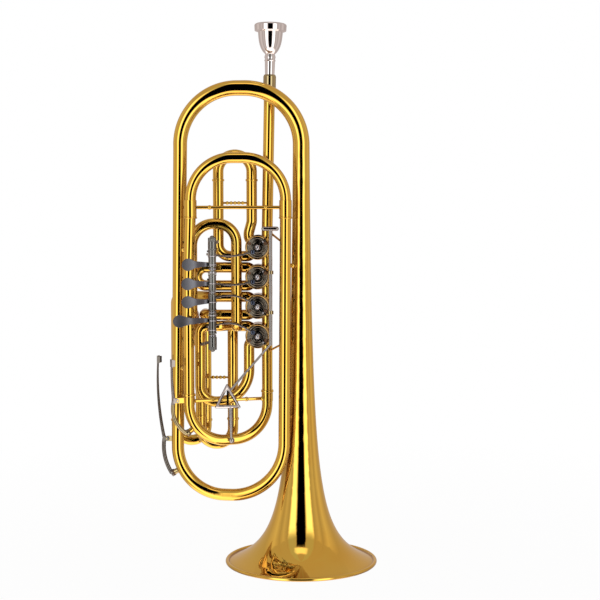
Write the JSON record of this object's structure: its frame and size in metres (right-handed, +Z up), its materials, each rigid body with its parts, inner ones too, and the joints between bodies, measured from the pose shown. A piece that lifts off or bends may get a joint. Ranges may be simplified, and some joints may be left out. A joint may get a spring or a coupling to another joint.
{
  "type": "rotary valve bass trumpet",
  "caption": "Low brass trumpet standing on its flared bell, with side levers that turn rotary valves, pull-out slides, drain keys and a cup mouthpiece",
  "frame": {"origin": "centre of the bell mouth, in the plane of the rim's axis", "axes": "+Z up the bell axis towards the mouthpiece, -Y towards the player's finger levers, +X away from the valves"},
  "size_m": [0.261, 0.1798, 0.636],
  "materials": {
    "gold_lacquer_brass": "polished brass under clear gold lacquer",
    "nickel_silver": "polished nickel silver",
    "rotor_alloy": "turned bearing metal",
    "steel": "bright steel",
    "cork": "fine cork",
    "silver_plate": "bright silver plate"
  },
  "bodies": {
    "root": {"bell": "gold_lacquer_brass", "bell_bow": "gold_lacquer_brass", "bell_rim_wire": "steel", "bottom_bow": "gold_lacquer_brass", "braces": "gold_lacquer_brass", "casing_caps": "nickel_silver", "cork_plates": "nickel_silver", "crook_bow": "gold_lacquer_brass", "ferrules": "gold_lacquer_brass", "leadpipe": "gold_lacquer_brass", "left_leg": "gold_lacquer_brass", "lever_rail": "nickel_silver", "main_knuckles": "gold_lacquer_brass", "mouthpiece_receiver": "gold_lacquer_brass", "outer_leg": "gold_lacquer_brass", "rail_posts": "nickel_silver", "rear_bearings": "rotor_alloy", "right_leg": "gold_lacquer_brass", "springs": "steel", "stop_corks": "cork", "trigger_guides": "nickel_silver", "valve_casings": "nickel_silver", "valve_tubes_1": "gold_lacquer_brass", "valve_tubes_2": "gold_lacquer_brass", "valve_tubes_3": "gold_lacquer_brass", "valve_tubes_4": "gold_lacquer_brass", "water_key_mount_1": "gold_lacquer_brass"},
    "mouthpiece": {"mouthpiece": "silver_plate"},
    "main_slide": {"main_tuning_slide": "gold_lacquer_brass", "trigger": "nickel_silver", "water_key_mount_2": "gold_lacquer_brass", "water_key_spring_2": "steel"},
    "valve_slide_1": {"valve_slide_1": "gold_lacquer_brass"},
    "valve_slide_2": {"valve_slide_2": "gold_lacquer_brass"},
    "valve_slide_3": {"valve_slide_3": "gold_lacquer_brass"},
    "valve_slide_4": {"valve_slide_4": "gold_lacquer_brass"},
    "water_key_1": {"water_key_1": "nickel_silver", "water_key_pad_1": "cork"},
    "water_key_2": {"water_key_2": "nickel_silver", "water_key_pad_2": "cork"},
    "rotor_1": {"rotor_1": "rotor_alloy", "stop_arm_1": "nickel_silver", "rotor_screw_1": "steel"},
    "link_1": {"link_1": "nickel_silver"},
    "lever_1": {"lever_1": "nickel_silver"},
    "rotor_2": {"rotor_2": "rotor_alloy", "stop_arm_2": "nickel_silver", "rotor_screw_2": "steel"},
    "link_2": {"link_2": "nickel_silver"},
    "lever_2": {"lever_2": "nickel_silver"},
    "rotor_3": {"rotor_3": "rotor_alloy", "stop_arm_3": "nickel_silver", "rotor_screw_3": "steel"},
    "link_3": {"link_3": "nickel_silver"},
    "lever_3": {"lever_3": "nickel_silver"},
    "rotor_4": {"rotor_4": "rotor_alloy", "stop_arm_4": "nickel_silver", "rotor_screw_4": "steel"},
    "link_4": {"link_4": "nickel_silver"},
    "lever_4": {"lever_4": "nickel_silver"}
  },
  "joints": [
    {"name": "mouthpiece_pull", "type": "slide", "parent": "root", "child": "mouthpiece", "axis": [0.0181, 0, 0.9998], "range_m": [0, 0.03]},
    {"name": "tuning_slide_draw", "type": "slide", "parent": "root", "child": "main_slide", "axis": [0, 0, -1], "range_m": [0, 0.035]},
    {"name": "valve_slide_1_draw", "type": "slide", "parent": "root", "child": "valve_slide_1", "axis": [0, 0, 1], "range_m": [0, 0.03]},
    {"name": "valve_slide_2_draw", "type": "slide", "parent": "root", "child": "valve_slide_2", "axis": [-1, 0, 0], "range_m": [0, 0.018]},
    {"name": "valve_slide_3_draw", "type": "slide", "parent": "root", "child": "valve_slide_3", "axis": [0, 0, -1], "range_m": [0, 0.06]},
    {"name": "valve_slide_4_draw", "type": "slide", "parent": "root", "child": "valve_slide_4", "axis": [0, 0, -1], "range_m": [0, 0.055]},
    {"name": "lever_1_press", "type": "hinge", "parent": "root", "child": "lever_1", "pos_m": [-0.1025, -0.03, 0.36], "axis": [0, 0, -1], "range_deg": [0, 25.5]},
    {"name": "rotor_1_turn", "type": "hinge", "parent": "root", "child": "rotor_1", "pos_m": [-0.0513, 0.017, 0.3724], "axis": [0, -1, 0], "range_deg": [0, 90]},
    {"name": "link_1_swing", "type": "hinge", "parent": "rotor_1", "child": "link_1", "pos_m": [-0.0566, -0.0067, 0.3671], "axis": [0, 1, 0], "range_deg": [0, 90]},
    {"name": "lever_2_press", "type": "hinge", "parent": "root", "child": "lever_2", "pos_m": [-0.1025, -0.03, 0.333], "axis": [0, 0, -1], "range_deg": [0, 25.5]},
    {"name": "rotor_2_turn", "type": "hinge", "parent": "root", "child": "rotor_2", "pos_m": [-0.0513, 0.017, 0.3375], "axis": [0, -1, 0], "range_deg": [0, 90]},
    {"name": "link_2_swing", "type": "hinge", "parent": "rotor_2", "child": "link_2", "pos_m": [-0.0566, -0.0067, 0.3322], "axis": [0, 1, 0], "range_deg": [0, 90]},
    {"name": "lever_3_press", "type": "hinge", "parent": "root", "child": "lever_3", "pos_m": [-0.1025, -0.03, 0.31], "axis": [0, 0, -1], "range_deg": [0, 25.5]},
    {"name": "rotor_3_turn", "type": "hinge", "parent": "root", "child": "rotor_3", "pos_m": [-0.0513, 0.017, 0.3026], "axis": [0, 1, 0], "range_deg": [0, 90]},
    {"name": "link_3_swing", "type": "hinge", "parent": "rotor_3", "child": "link_3", "pos_m": [-0.0566, -0.0067, 0.3079], "axis": [0, -1, 0], "range_deg": [0, 90]},
    {"name": "lever_4_press", "type": "hinge", "parent": "root", "child": "lever_4", "pos_m": [-0.1025, -0.03, 0.283], "axis": [0, 0, -1], "range_deg": [0, 25.5]},
    {"name": "rotor_4_turn", "type": "hinge", "parent": "root", "child": "rotor_4", "pos_m": [-0.0513, 0.017, 0.2677], "axis": [0, 1, 0], "range_deg": [0, 90]},
    {"name": "link_4_swing", "type": "hinge", "parent": "rotor_4", "child": "link_4", "pos_m": [-0.0566, -0.0067, 0.273], "axis": [0, -1, 0], "range_deg": [0, 90]},
    {"name": "water_key_1_open", "type": "hinge", "parent": "root", "child": "water_key_1", "pos_m": [-0.15874, 0.00202, 0.146], "axis": [0.1564, 0.9877, 0], "range_deg": [0, 7]},
    {"name": "water_key_2_open", "type": "hinge", "parent": "main_slide", "child": "water_key_2", "pos_m": [-0.1449, -0.02337, 0.1945], "axis": [-0.3607, 0.9327, 0], "range_deg": [0, 10]}
  ],
  "couplings": [
    {"joint": "rotor_1_turn", "follows": "lever_1_press", "ratio": 3.529},
    {"joint": "link_1_swing", "follows": "lever_1_press", "ratio": 3.529},
    {"joint": "rotor_2_turn", "follows": "lever_2_press", "ratio": 3.529},
    {"joint": "link_2_swing", "follows": "lever_2_press", "ratio": 3.529},
    {"joint": "rotor_3_turn", "follows": "lever_3_press", "ratio": 3.529},
    {"joint": "link_3_swing", "follows": "lever_3_press", "ratio": 3.529},
    {"joint": "rotor_4_turn", "follows": "lever_4_press", "ratio": 3.529},
    {"joint": "link_4_swing", "follows": "lever_4_press", "ratio": 3.529}
  ]
}
